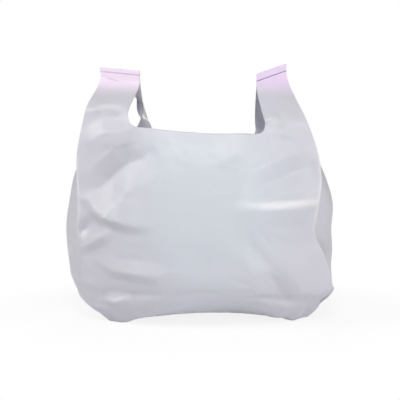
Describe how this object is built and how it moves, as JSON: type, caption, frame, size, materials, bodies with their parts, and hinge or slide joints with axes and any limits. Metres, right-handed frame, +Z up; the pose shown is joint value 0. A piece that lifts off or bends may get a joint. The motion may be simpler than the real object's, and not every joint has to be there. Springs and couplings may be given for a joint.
{
  "type": "plastic carrier bag",
  "caption": "White film carrier bag with gusseted sides and vest handles, puffed open and standing on its base, with a heat-sealed base and handle tops.",
  "frame": {"origin": "middle of the bag's bounding box on the surface that it stands on", "axes": "+Z up through the mouth, +X to the right as the front panel is looked at, and the front panel faces -Y"},
  "size_m": [0.307, 0.1832, 0.2816],
  "materials": {
    "white_film": "thin white blown film, slightly translucent, soft sheen"
  },
  "bodies": {
    "root": {"carrier_bag": "white_film"}
  },
  "joints": []
}
